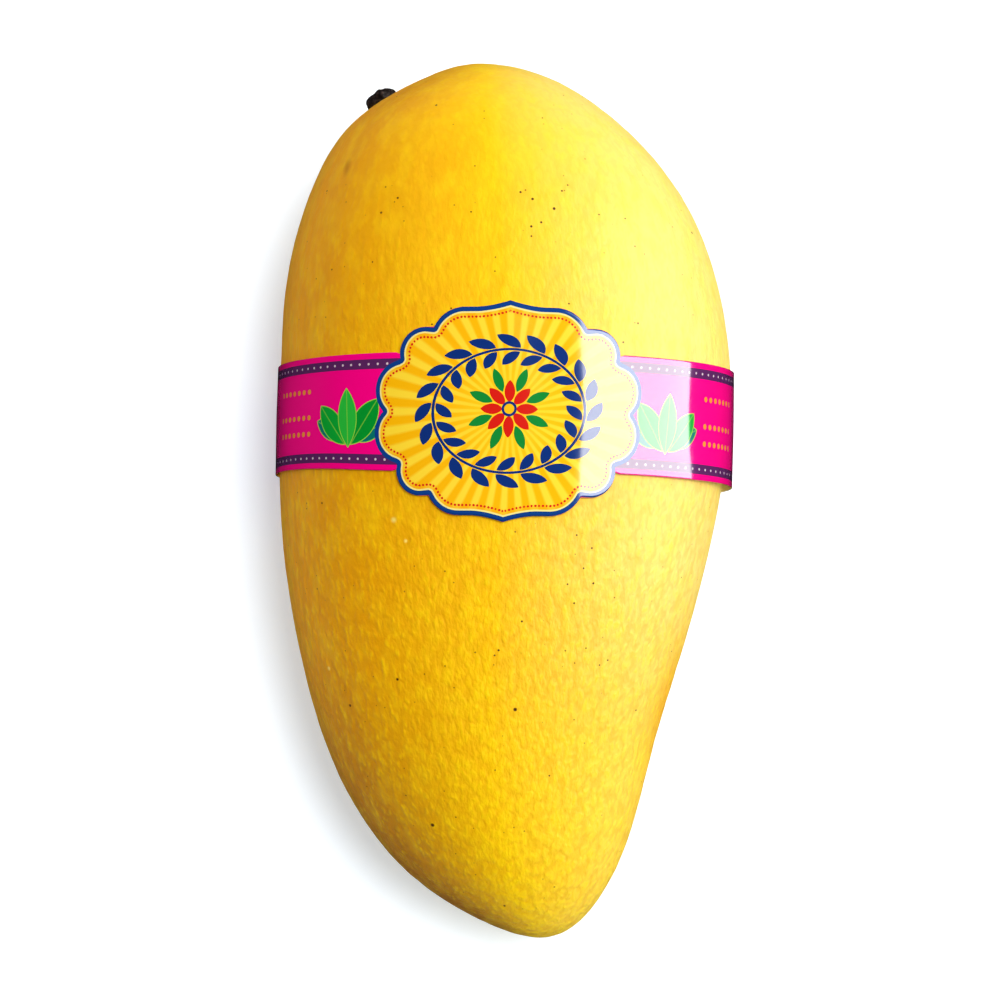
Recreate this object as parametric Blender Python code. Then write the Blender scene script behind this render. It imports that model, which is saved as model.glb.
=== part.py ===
"""A ripe golden mango lying on its flat cheek, with its dried stem stub and its film wrap label.

The stem end points along +Y and the upper cheek along +Z. The fruit rests on a small
flat spot at Z = 0, below its centre of mass. Sizes named _MM are millimetres.
"""

import math

import bmesh
import bpy
import numpy as np

MM = 0.001
GAP = 0.3 * MM

# Fruit: its length, and its plan outline as the sideways place of the edge at every
# 15 degrees of length angle, clockwise from the stem end, where y = length / 2 * cos(angle)
FRUIT_LENGTH = 180 * MM
OUTLINE_MM = (
    -5.3, 9.0, 23.0, 35.5, 43.6, 46.5, 44.4, 38.8, 32.2, 27.4, 21.7, 14.9,
    7.1, -4.1, -18.4, -30.2, -38.7, -44.0, -46.4, -46.4, -45.1, -40.2, -31.3, -16.8,
)
# Half of the thickness from cheek to cheek, at the same steps from stem end to tip
HALF_THICKNESS_MM = (0, 11.5, 23.0, 31.5, 36.5, 38.0, 37.0, 33.5, 28.5, 22.5, 15.5, 7.8, 0)
REST_Y = 8 * MM
LENGTH_TILT = 0.06
FLAT_SPOT_DEPTH = 0.8 * MM
RING_STEP_DEGREES = 5
SIDES = 64
SKIN_COLOUR, SKIN_ROUGHNESS = (0.85, 0.50, 0.01), 0.42

# Film wrap: a band around the widest part, with a scalloped badge cut in one piece with it
FILM_THICKNESS = 0.3 * MM
BAND_CENTRE_Y = 14.8 * MM
BAND_HALF_WIDTH = 11.8 * MM
BAND_SKEW = 0.012
BAND_NARROWING = 1.6 * MM
NARROWING_X = (-18 * MM, -46 * MM)
BADGE_X = 0.7 * MM
BADGE_HALF_HEIGHT = 21.9 * MM
BADGE_FLAT_V = 20.6 * MM
OGEE_HALF_WIDTH = 6.8 * MM
OGEE_POWER = 1.7
SHOULDER_CENTRE = (9.2 * MM, 13.7 * MM)
SHOULDER_RADIUS = 6.9 * MM
NOTCH_U = 15.5 * MM
CORNER_CENTRE = (17.3 * MM, 11.5 * MM)
CORNER_RADIUS = 5.2 * MM
STRAIGHT_Y = 21 * MM
CHEEK_STRAIGHTNESS = 0.35
SEAM_TURN = math.radians(-40)
FILM_OVERLAP = 14 * MM
OVERLAP_RAMP = 6.5 * MM
OVERLAP_LEAD = 1.5 * MM
BAND_COLUMN = 3.4 * MM
OGEE_COLUMNS, SHOULDER_COLUMNS, CORNER_COLUMNS = 5, 8, 8
FILM_ROWS = 8
FILM_COLOUR, FILM_ROUGHNESS = (0.66, 0.005, 0.12), 0.22

# The flat spot's recess under the film starts this far outside the band's edges and is full depth
# nearer to them
RECESS_START = 2.5 * GAP
RECESS_FULL = 1.5 * GAP

# Dried stem stub on the left shoulder of the stem end
STUB_Y = 82.3 * MM
STUB_TURN = math.radians(190)
STUB_RADIUS = 3.5 * MM
STUB_HEIGHT = 2.7 * MM
STUB_SIDES = 16
# Rings from the seat to the broken top, as shares of the radius and of the height
STUB_PROFILE = ((0.86, 0.0), (0.98, 0.2), (1.0, 0.42), (0.93, 0.66), (0.74, 0.86), (0.42, 0.97))
# Flats round its side: how many, how deep as a share of the radius, and their turn
STUB_FLATS = ((5, 0.05, 0.7), (2, 0.03, 0.0))
SKIN_RADIUS_AT_STUB = 20 * MM
STUB_COLOUR, STUB_ROUGHNESS = (0.024, 0.013, 0.010), 0.6

SHARP_ANGLE = math.radians(50)


def smooth_step(t):
    """0 below t = 0, 1 above t = 1, with level ends."""
    t = np.clip(t, 0, 1)
    return t * t * (3 - 2 * t)


def closed_curve(values, angle):
    """A smooth closed cubic curve through values, which stand at equal steps of the full turn."""
    count = len(values)
    blend = (4 * np.eye(count) + np.roll(np.eye(count), 1, 0) + np.roll(np.eye(count), -1, 0)) / 6
    control = np.linalg.solve(blend, np.array(values, float))
    place = np.asarray(angle) / (2 * math.pi) * count
    first = np.floor(place).astype(int)
    t = place - first
    weights = (
        (1 - t) ** 3 / 6,
        (3 * t**3 - 6 * t**2 + 4) / 6,
        (-3 * t**3 + 3 * t**2 + 3 * t + 1) / 6,
        t**3 / 6,
    )
    return sum(w * control[(first + k - 1) % count] for k, w in enumerate(weights))


def half_thickness(y):
    angle = np.arccos(np.clip(2 * np.asarray(y) / FRUIT_LENGTH, -1, 1))
    both_sides = HALF_THICKNESS_MM + tuple(-h for h in HALF_THICKNESS_MM[-2:0:-1])
    return closed_curve(both_sides, angle) * MM


def skin(y, turn):
    """Points of the skin at this y and this turn round it, where 0 is +X and a quarter turn is up."""
    angle = np.arccos(np.clip(2 * np.asarray(y) / FRUIT_LENGTH, -1, 1))
    right = closed_curve(OUTLINE_MM, angle) * MM
    left = closed_curve(OUTLINE_MM, -angle) * MM
    middle_z = half_thickness(REST_Y) - FLAT_SPOT_DEPTH + LENGTH_TILT * (y - REST_Y)
    x = (right + left) / 2 + (right - left) / 2 * np.cos(turn)
    z = middle_z + half_thickness(y) * np.sin(turn)
    return np.stack([x, y + 0 * x, z], -1)


def mesh_object(name, points, faces, colour, roughness):
    """A smooth closed mesh object with faces out and its own material."""
    mesh = bpy.data.meshes.new(name)
    mesh.from_pydata(points.tolist(), [], faces)
    shape = bmesh.new()
    shape.from_mesh(mesh)
    bmesh.ops.recalc_face_normals(shape, faces=shape.faces)
    shape.to_mesh(mesh)
    shape.free()
    mesh.shade_smooth()
    mesh.set_sharp_from_angle(angle=SHARP_ANGLE)
    material = bpy.data.materials.new(name)
    material.use_nodes = True
    shader = material.node_tree.nodes["Principled BSDF"]
    shader.inputs["Base Color"].default_value = (*colour, 1)
    shader.inputs["Roughness"].default_value = roughness
    shader.inputs["Metallic"].default_value = 0
    mesh.materials.append(material)
    obj = bpy.data.objects.new(name, mesh)
    bpy.context.collection.objects.link(obj)
    return obj


def grid_faces(index, wrap):
    """Quads between the neighbouring entries of a table of vertex numbers, closed along its rows if wrap."""
    ahead = np.roll(index, -1, 1) if wrap else index[:, 1:]
    index = index if wrap else index[:, :-1]
    quads = np.stack([index[:-1], index[1:], ahead[1:], ahead[:-1]], -1)
    return quads.reshape(-1, 4).tolist()


def band_edges_y(x):
    """The y of the band's lower and upper edge at this x: a slight skew, and a narrowing at the left."""
    centre = BAND_CENTRE_Y - BAND_SKEW * x
    raised = BAND_NARROWING * smooth_step((x - NARROWING_X[0]) / (NARROWING_X[1] - NARROWING_X[0]))
    return centre - BAND_HALF_WIDTH + raised, centre + BAND_HALF_WIDTH


def fruit():
    """The whole fruit: rings of skin points between two poles, pressed flat where it rests.

    Under the band the flat spot is higher by the film and a gap, so film and skin rest on one level.
    """
    angles = np.radians(np.arange(RING_STEP_DEGREES, 180, RING_STEP_DEGREES))
    band_low, band_high = band_edges_y(0.0)
    recess = np.array([
        band_low - RECESS_START, band_low - RECESS_FULL, band_high + RECESS_FULL, band_high + RECESS_START,
    ])
    ring_y = np.sort(np.concatenate([FRUIT_LENGTH / 2 * np.cos(angles), recess]))
    turns = np.linspace(0, 2 * math.pi, SIDES, endpoint=False)
    y, turn = np.meshgrid(ring_y, turns, indexing="ij")
    points = skin(y, turn)
    in_recess = (y > recess[0] + GAP / 2) & (y < recess[3] - GAP / 2)
    floor = np.where(in_recess, FILM_THICKNESS + GAP, 0)
    points[..., 2] = np.maximum(points[..., 2], floor)
    poles = skin(np.array([-FRUIT_LENGTH / 2, FRUIT_LENGTH / 2]), np.zeros(2))
    index = np.arange(y.size).reshape(y.shape)
    faces = grid_faces(index, wrap=True)
    for pole, ring in ((y.size, index[0]), (y.size + 1, index[-1])):
        faces += [[pole, int(a), int(b)] for a, b in zip(ring, np.roll(ring, -1))]
    points = np.concatenate([points.reshape(-1, 3), poles])
    return mesh_object("mango_fruit", points, faces, SKIN_COLOUR, SKIN_ROUGHNESS)


def film_top(u):
    """Upper edge of the flat film at distance u from the badge's middle: point, shoulder, lobe, band."""
    side = np.abs(u)
    sag = np.maximum(1 - side / OGEE_HALF_WIDTH, 0) ** OGEE_POWER
    point = BADGE_FLAT_V + (BADGE_HALF_HEIGHT - BADGE_FLAT_V) * sag
    shoulder_rise = np.maximum(SHOULDER_RADIUS**2 - (side - SHOULDER_CENTRE[0]) ** 2, 0)
    shoulder = SHOULDER_CENTRE[1] + np.sqrt(shoulder_rise)
    past_corner = np.maximum(side - CORNER_CENTRE[0], 0)
    corner = CORNER_CENTRE[1] + np.sqrt(np.maximum(CORNER_RADIUS**2 - past_corner**2, 0))
    badge = np.where(side < SHOULDER_CENTRE[0], point, np.where(side < NOTCH_U, shoulder, corner))
    return np.where(side <= CORNER_CENTRE[0] + CORNER_RADIUS, badge, BAND_HALF_WIDTH)


def film_columns(start, end):
    """Places along the film: close together where the badge's outline turns, wide apart on the plain band."""
    corner_sweep = np.sin(np.linspace(0, math.pi / 2, CORNER_COLUMNS))
    half_badge = np.concatenate([
        np.linspace(0, OGEE_HALF_WIDTH, OGEE_COLUMNS + 1)[1:],
        np.linspace(OGEE_HALF_WIDTH, NOTCH_U, SHOULDER_COLUMNS + 1)[1:],
        CORNER_CENTRE[0] + CORNER_RADIUS * corner_sweep,
    ])
    badge = np.concatenate([-half_badge[::-1], [0.0], half_badge])
    left = np.linspace(start, badge[0], round((badge[0] - start) / BAND_COLUMN))[:-1]
    right = np.linspace(badge[-1], end, round((end - badge[-1]) / BAND_COLUMN))[1:]
    return np.concatenate([left, badge, right])


def film_layer(y, turn, lift):
    """Points of the film at this lift over the skin.

    Across its width the film keeps partly to the straight line that touches the skin at the
    widest part: fully at the sides, where it stands off the skin, and less over the cheeks.
    """
    step = 1 * MM
    touch = np.full_like(y, STRAIGHT_Y)
    slope = (skin(touch + step, turn) - skin(touch - step, turn)) / (2 * step)
    straight = skin(touch, turn) + slope * (y - touch)[..., None]
    share = (CHEEK_STRAIGHTNESS + (1 - CHEEK_STRAIGHTNESS) * np.cos(turn) ** 2)[..., None]
    points = skin(y, turn) * (1 - share) + straight * share
    round_step = 0.001
    along = skin(y, turn + round_step) - skin(y, turn - round_step)
    outward = np.stack([along[..., 2], 0 * y, -along[..., 0]], -1)
    outward /= np.linalg.norm(outward, axis=-1, keepdims=True)
    return points + outward * lift[..., None]


def label():
    """The film wrap: once round the fruit with its ends overlapped underneath, badge on the upper cheek."""
    turns = np.linspace(2 * math.pi, -math.pi, 3601)
    loop = film_layer(np.full_like(turns, BAND_CENTRE_Y), turns, np.full_like(turns, GAP))
    lengths = np.concatenate([[0], np.cumsum(np.linalg.norm(np.diff(loop, axis=0), axis=1))])
    upper = (turns > 0) & (turns < math.pi)
    lengths -= np.interp(BADGE_X, loop[upper, 0], lengths[upper])
    seam = np.interp(-SEAM_TURN, -turns, lengths)
    start = np.interp(-SEAM_TURN - 2 * math.pi, -turns, lengths)
    u = film_columns(start, seam + FILM_OVERLAP)
    across = np.linspace(-1, 1, FILM_ROWS + 1)
    edge = film_top(u)
    column_x = skin(BAND_CENTRE_Y, np.interp(u, lengths, turns))[:, 0]
    low_edge, high_edge = band_edges_y(column_x)
    centre = BAND_CENTRE_Y - BAND_SKEW * column_x
    high = np.where(edge > BAND_HALF_WIDTH, centre + edge, high_edge)
    low = np.where(edge > BAND_HALF_WIDTH, centre - edge, low_edge)
    y = low[:, None] + (high - low)[:, None] * (across + 1) / 2
    leaning_u = u[:, None] + BAND_SKEW * (y - BAND_CENTRE_Y)
    turn = np.interp(leaning_u, lengths, turns)
    climb = smooth_step((leaning_u - seam + OVERLAP_RAMP + OVERLAP_LEAD) / OVERLAP_RAMP)
    over = (FILM_THICKNESS + GAP) * climb
    inner = film_layer(y, turn, over + GAP)
    outer = film_layer(y, turn, over + GAP + FILM_THICKNESS)
    inner[..., 2] = np.maximum(inner[..., 2], FILM_THICKNESS)
    outer[..., 2] = np.maximum(outer[..., 2], 0)
    top_side = np.arange(y.size).reshape(y.shape)
    under_side = top_side + y.size
    rim = [grid_faces(np.stack([top_side[:, k], under_side[:, k]]), wrap=False) for k in (0, -1)]
    ends = [grid_faces(np.stack([top_side[k], under_side[k]]), wrap=False) for k in (0, -1)]
    faces = sum([grid_faces(top_side, wrap=False), grid_faces(under_side, wrap=False), *rim, *ends], [])
    points = np.concatenate([outer.reshape(-1, 3), inner.reshape(-1, 3)])
    return mesh_object("label_wrap", points, faces, FILM_COLOUR, FILM_ROUGHNESS)


def stem_stub():
    """The dried stub of the stem: a low, rounded, slightly faceted knob standing out of the skin."""
    seat = skin(STUB_Y, STUB_TURN)
    step = 0.5 * MM
    turn_step = 0.02
    along = skin(STUB_Y - step, STUB_TURN) - skin(STUB_Y + step, STUB_TURN)
    around = skin(STUB_Y, STUB_TURN + turn_step) - skin(STUB_Y, STUB_TURN - turn_step)
    outward = np.cross(around, along)
    outward *= np.sign(outward[1]) / np.linalg.norm(outward)
    around /= np.linalg.norm(around)
    along = np.cross(outward, around)
    share, rise = np.array(STUB_PROFILE).T
    sides = np.linspace(0, 2 * math.pi, STUB_SIDES, endpoint=False)
    flats = 1 + sum(depth * np.cos(count * sides + turn) for count, depth, turn in STUB_FLATS)
    radius = STUB_RADIUS * share[:, None] * flats
    follow_skin = -(radius**2) / (2 * SKIN_RADIUS_AT_STUB) * (1 - rise[:, None])
    height = GAP + STUB_HEIGHT * rise[:, None] + follow_skin
    points = (
        seat
        + radius[..., None] * (np.cos(sides)[:, None] * around + np.sin(sides)[:, None] * along)
        + height[..., None] * outward
    )
    caps = seat + np.outer([GAP, GAP + STUB_HEIGHT], outward)
    index = np.arange(radius.size).reshape(radius.shape)
    faces = grid_faces(index, wrap=True)
    for cap, ring in ((radius.size, index[0]), (radius.size + 1, index[-1])):
        faces += [[cap, int(a), int(b)] for a, b in zip(ring, np.roll(ring, -1))]
    points = np.concatenate([points.reshape(-1, 3), caps])
    return mesh_object("stem_stub", points, faces, STUB_COLOUR, STUB_ROUGHNESS)


for existing in list(bpy.data.objects):
    bpy.data.objects.remove(existing)

fruit()
label()
stem_stub()
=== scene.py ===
"""A ripe golden mango with a printed film wrap, lying on its cheek on a white studio table."""

import math

import bpy
import numpy as np
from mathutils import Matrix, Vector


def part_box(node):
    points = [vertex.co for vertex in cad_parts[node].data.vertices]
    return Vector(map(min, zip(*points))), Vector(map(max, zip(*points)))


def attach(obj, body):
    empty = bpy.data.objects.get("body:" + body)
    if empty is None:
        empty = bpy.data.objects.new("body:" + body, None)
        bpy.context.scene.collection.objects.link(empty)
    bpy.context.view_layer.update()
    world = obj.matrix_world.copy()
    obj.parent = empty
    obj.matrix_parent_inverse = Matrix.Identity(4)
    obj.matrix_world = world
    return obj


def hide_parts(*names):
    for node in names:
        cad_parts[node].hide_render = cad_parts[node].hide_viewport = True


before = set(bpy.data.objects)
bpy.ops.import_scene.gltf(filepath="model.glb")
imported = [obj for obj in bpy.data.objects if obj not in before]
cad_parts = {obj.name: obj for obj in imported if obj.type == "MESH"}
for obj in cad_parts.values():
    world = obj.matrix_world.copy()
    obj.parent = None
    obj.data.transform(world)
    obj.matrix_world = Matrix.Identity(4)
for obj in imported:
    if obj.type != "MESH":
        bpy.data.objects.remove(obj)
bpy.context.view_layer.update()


# The fruit: one whole ripe mango of a long yellow kind, grown as one piece. It is thickest near
# its stem end, hollows slightly below the middle on the side its tip bends to, and has pressed
# a small flat spot where it lies. Its skin is a thin waxy hide, finely pebbled along its length.
MM = 0.001
fruit_low, fruit_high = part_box("mango_fruit")
FRUIT_LENGTH = fruit_high.y - fruit_low.y
# Sideways place of the plan outline's edge at every 15 degrees of length angle, which runs
# clockwise from the stem end
OUTLINE_MM = (
    -5.3, 9.0, 23.0, 35.5, 43.6, 46.5, 44.4, 38.8, 32.2, 27.4, 21.7, 14.9,
    7.1, -4.1, -18.4, -30.2, -38.7, -44.0, -46.4, -46.4, -45.1, -40.2, -31.3, -16.8,
)
# Half of the thickness from cheek to cheek, at the same steps from stem end to tip
HALF_THICKNESS_MM = (0, 11.5, 23.0, 31.5, 36.5, 38.0, 37.0, 33.5, 28.5, 22.5, 15.5, 7.8, 0)
REST_Y = 8 * MM
LENGTH_TILT = 0.06
FLAT_SPOT_DEPTH = 0.8 * MM
LUMP_SIZE = 30 * MM
LUMP_HEIGHT = 0.30 * MM
LUMP_SEED, PEBBLE_SEED, FINER_SEED = 3, 11, 12
PEBBLE_SIZE = np.array([2.0, 4.4, 2.0]) * MM
PEBBLE_HEIGHT = 0.055 * MM
FINER_PEBBLES, FINER_SHARE = 0.55, 0.6
SKIN_RINGS = 270
SKIN_SIDES = 336
BAND_SKIN_Y = (2.4 * MM, 27.2 * MM)
BAND_SKIN_LEVEL = 0.2 * MM
NOISE_LATTICE = 64


def closed_curve(values, angle):
    """A smooth closed cubic curve through values at equal steps of the full turn.

    The spline's control numbers c solve (c before + 4 c + c after) / 6 = value, and a place
    between two of them blends the nearest four with the cubic B-spline weights.
    """
    count = len(values)
    blend = (4 * np.eye(count) + np.roll(np.eye(count), 1, 0) + np.roll(np.eye(count), -1, 0)) / 6
    control = np.linalg.solve(blend, np.array(values, float))
    place = np.asarray(angle) / (2 * math.pi) * count
    first = np.floor(place).astype(int)
    t = place - first
    weights = (
        (1 - t) ** 3 / 6,
        (3 * t**3 - 6 * t**2 + 4) / 6,
        (-3 * t**3 + 3 * t**2 + 3 * t + 1) / 6,
        t**3 / 6,
    )
    return sum(w * control[(first + k - 1) % count] for k, w in enumerate(weights))


def cell_noise(points, cell, seed):
    """Smooth noise from -1 to 1.

    It blends random numbers on a lattice, by 3t^2 - 2t^3 within each cell.
    """
    lattice = np.random.default_rng(seed).uniform(-1, 1, (NOISE_LATTICE,) * 3)
    place = points / cell
    corner = np.floor(place).astype(int)
    t = place - corner
    t = t * t * (3 - 2 * t)
    value = 0
    for step in np.ndindex(2, 2, 2):
        share = np.prod(np.where(np.array(step), t, 1 - t), -1)
        index = (corner + step) % NOISE_LATTICE
        value = value + share * lattice[index[..., 0], index[..., 1], index[..., 2]]
    return value


def skin(y, turn):
    """The lumpy skin at length y and turn round it, where 0 is +X and a quarter turn is up.

    The plan outline gives the section's two ends, the thickness curve its height, and the
    section is an ellipse between them. Lumps then push each point out from the section's
    middle, by their height over the section's mean radius.
    """
    angle = np.arccos(np.clip(2 * np.asarray(y) / FRUIT_LENGTH, -1, 1))
    right = closed_curve(OUTLINE_MM, angle) * MM
    left = closed_curve(OUTLINE_MM, -angle) * MM
    halves = HALF_THICKNESS_MM + tuple(-h for h in HALF_THICKNESS_MM[-2:0:-1])
    half_height = closed_curve(halves, angle) * MM
    rest_height = closed_curve(halves, np.arccos(2 * REST_Y / FRUIT_LENGTH)) * MM - FLAT_SPOT_DEPTH
    middle_z = rest_height + LENGTH_TILT * (y - REST_Y)
    middle_x, half_width = (right + left) / 2, (right - left) / 2
    level = np.stack([half_width * np.cos(turn), 0 * turn, half_height * np.sin(turn)], -1)
    middle = np.stack([middle_x + 0 * turn, y + 0 * turn, middle_z + 0 * turn], -1)
    mean_radius = (half_width + half_height + MM) / 2
    lump = LUMP_HEIGHT * cell_noise(middle + level, LUMP_SIZE, LUMP_SEED) / mean_radius
    return middle + level * (1 + lump[..., None])


def outward(grid):
    """Unit normals of a grid closed along its rows.

    Each is the cross product of the differences along the grid's two directions.
    """
    around = np.roll(grid, -1, 1) - np.roll(grid, 1, 1)
    along = np.gradient(grid, axis=0)
    normal = np.cross(along, around)
    return normal / np.maximum(np.linalg.norm(normal, axis=-1, keepdims=True), 1e-12)


def grid_quads(index, wrap=False):
    """Quads between neighbouring entries of a table of vertex numbers, closed along its rows if wrap.

    They look outward where the rows run clockwise, seen from the first row's end.
    """
    ahead = np.roll(index, -1, 1) if wrap else index[:, 1:]
    behind = index if wrap else index[:, :-1]
    return np.stack([behind[:-1], ahead[:-1], ahead[1:], behind[1:]], -1).reshape(-1, 4)


def end_cap(row, tip):
    """Triangles from a closed row of vertex numbers to the one vertex that ends the shape."""
    return np.stack([np.full(len(row), tip), np.roll(row, -1), row], -1)


def solid_piece(name, points, faces):
    """A smooth-shaded mesh object at the origin from a table of points and its faces."""
    mesh = bpy.data.meshes.new(name)
    mesh.from_pydata(points.reshape(-1, 3).tolist(), [], [list(map(int, f)) for f in faces])
    mesh.shade_smooth()
    piece = bpy.data.objects.new(name, mesh)
    bpy.context.scene.collection.objects.link(piece)
    return piece


ring_angles = np.linspace(0, math.pi, SKIN_RINGS + 2)[1:-1]
side_turns = np.linspace(0, 2 * math.pi, SKIN_SIDES, endpoint=False)
skin_y, skin_turn = np.meshgrid(FRUIT_LENGTH / 2 * np.cos(ring_angles), side_turns, indexing="ij")
skin_points = skin(skin_y, skin_turn)
pebbles = cell_noise(skin_points, PEBBLE_SIZE, PEBBLE_SEED)
finer_pebbles = cell_noise(skin_points, PEBBLE_SIZE * FINER_PEBBLES, FINER_SEED)
pebbles = pebbles + FINER_SHARE * finer_pebbles
skin_points = skin_points + outward(skin_points) * (PEBBLE_HEIGHT * pebbles)[..., None]
under_band = (skin_y > BAND_SKIN_Y[0]) & (skin_y < BAND_SKIN_Y[1])
skin_points[..., 2] = np.maximum(skin_points[..., 2], np.where(under_band, BAND_SKIN_LEVEL, 0))
ends = skin(np.array([FRUIT_LENGTH / 2, -FRUIT_LENGTH / 2]), np.zeros(2))
skin_index = np.arange(skin_y.size).reshape(skin_y.shape)
stem_cap = end_cap(skin_index[0], skin_y.size)
tip_cap = end_cap(skin_index[-1][::-1], skin_y.size + 1)
skin_faces = [*grid_quads(skin_index, wrap=True), *stem_cap, *tip_cap]
mango_points = np.concatenate([skin_points.reshape(-1, 3), ends])
mango = solid_piece("mango_skin_surface", mango_points, skin_faces)
# How far each point lies to the right, from -1 to 1, fading to 0 at the two ends
END_FADE = 0.3
right_share = np.cos(skin_turn) * np.minimum(np.sin(ring_angles) / END_FADE, 1)[:, None]
side = mango.data.attributes.new("side_share", "FLOAT", "POINT")
side.data.foreach_set("value", np.append(right_share.ravel(), [0, 0]).astype(np.float32))


def colour(code):
    """sRGB hex to linear: c / 12.92 below 0.04045, else ((c + 0.055) / 1.055) ^ 2.4."""
    parts = [int(code[k : k + 2], 16) / 255 for k in (0, 2, 4)]
    return (*(c / 12.92 if c <= 0.04045 else ((c + 0.055) / 1.055) ** 2.4 for c in parts), 1.0)


def add(tree, kind, inputs=(), **settings):
    """Adds one node with its settings, and sets or links its inputs, given in order or by name.

    An input is a value, a socket, or a node, which stands for its first output.
    """
    made = tree.nodes.new("ShaderNode" + kind)
    for name, value in settings.items():
        setattr(made, name, value)
    for place, value in inputs.items() if isinstance(inputs, dict) else enumerate(inputs):
        source = value.outputs[0] if isinstance(value, bpy.types.Node) else value
        if isinstance(source, bpy.types.NodeSocket):
            tree.links.new(source, made.inputs[place])
        else:
            made.inputs[place].default_value = source
    return made


def noise(tree, place, scale, detail, roughness=0.5):
    """A noise pattern's node, from its place, its cells per unit of length and its octaves."""
    settings = {"Vector": place, "Scale": scale, "Detail": detail, "Roughness": roughness}
    return add(tree, "TexNoise", settings)


def new_material(name):
    """A node material with its Principled shader, returned with its tree."""
    material = bpy.data.materials.new(name)
    material.use_nodes = True
    return material, material.node_tree, material.node_tree.nodes["Principled BSDF"]


# Ripe mango skin: a waxed natural hide over wet flesh. Light sinks in a little, so shade edges
# glow amber, and the wax gives a broad soft shine. Colours run from amber to gold in clouds. The
# left side is painted amber as painted shade, deeper at the tip and lighter again in a painted
# bounce light low along its edge. The right side is gold, with a painted cream sheen over it and
# painted shade in its hollow. Pale dashes on the pebbles are partly their own colour and partly
# painted highlight, with painted shade in the grooves and brown pores between them.
mango_skin, tree, shader = new_material("waxy_mango_skin")
place = add(tree, "TexCoord").outputs["Object"]
CLOUD_MM, DASH_MM, STREAK_MM, PORE_MM = 14, (1.2, 2.6, 1.2), (3.2, 7.0, 3.2), 2.0
# Each colour, and where it fades in or out: to the side from -1 to 1, or along the fruit
# The amber is painted shade on the left side, fading to the gold of the lit side by the middle
SHADE_SIDE_AMBER, GOLD, SHADE_FADE_SIDE = ("E49A00", "E8A200"), ("F9C204", "FACA06"), (-0.9, 0.0)
# A painted bounce light: a lighter amber strip low along the left edge
BOUNCE_LIGHT_SIDE, PAINTED_BOUNCE_LIGHT_INK = (-0.80, -0.97), "FFB000"
# A painted sheen: pale cream over the right side, which faces the softbox, weaker towards the tip
PAINTED_SHEEN_INK, SHEEN_SIDE = "FBDC74", (0.0, 0.85)
SHEEN_Y, SHEEN_SHARE = (-50 * MM, -15 * MM), (0.3, 1.0)
# Painted shade at the tip: its amber left side darker, and its gold a brighter yellow
TIP_SHADE_AMBER, TIP_GOLD = "AA6A02", "FFD60C"
TIP_SHADE_Y, TIP_SHADE_SHARE = (-30 * MM, -84 * MM), (0.0, 0.85)
PEBBLY_Y, PEBBLY_SHARE = (70 * MM, -30 * MM), (0.35, 1.0)
# The dash ink is partly the pebbles' own pale colour and partly painted highlight on their tops; the
# groove ink is painted shade between them
DASH_AND_HIGHLIGHT_INK, GROOVE_SHADE_INK, STREAK_INK = "FFD808", "E09C00", "FFDC18"
PORE_INK, MARK_INK, SCAR_INK, SMUDGE_INK = "6E3C08", "5A360A", "FFE27A", "B06C08"
# Noise levels between which a pattern fades in, and its least and greatest share
CLOUD_LEVELS = (0.34, 0.66)
STREAK_LEVELS, STREAK_SHARE = (0.45, 0.68), (0.0, 0.28)
DASH_LEVELS, DASH_SHARE = (0.36, 0.64), (0.12, 0.46)
# Distances from a pebble's middle between which its pale dash, partly painted highlight, and the
# painted shade in its groove fade in
DASH_EDGE, GROOVE_SHADE_EDGE, GROOVE_SHADE_SHARE = (0.45, 0.15), (0.42, 0.70), (0.0, 0.3)
# The noises' cells per pebble, and how far in pebbles the first one bends the pattern
BEND_SCALE, STRENGTH_SCALE, GRIT_SCALE = 1.1, 0.4, 2.0
BEND_REACH, PEBBLE_SMOOTHNESS = (1.0, 1.0, 1.0), 0.5
# Which draws make a pore, its radius and soft edge as shares of its cell, and its greatest share
PORE_DRAWS, PORE_RADII = (0.2, 1.0), (0.0, 0.12)
PORE_EDGE, PORE_SHARE = (0.0, 0.05), (0.0, 0.75)
SKIN_BUMP = 0.22 * MM
# The soft part of each kind of spot, as a share of its radii
HOLLOW_SOFT, SMUDGE_SOFT, SCAR_SOFT, MARK_SOFT = 0.9, 1.0, 1.0, 0.5
# Painted shade in the hollow on the lower right: a deeper gold spot's place, radii and ink
HOLLOW_MM, HOLLOW_RADII_MM, HOLLOW_SHADE_INK = (33.4, -42.0), (9.0, 33.0, 18.0), "F8B800"
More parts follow.
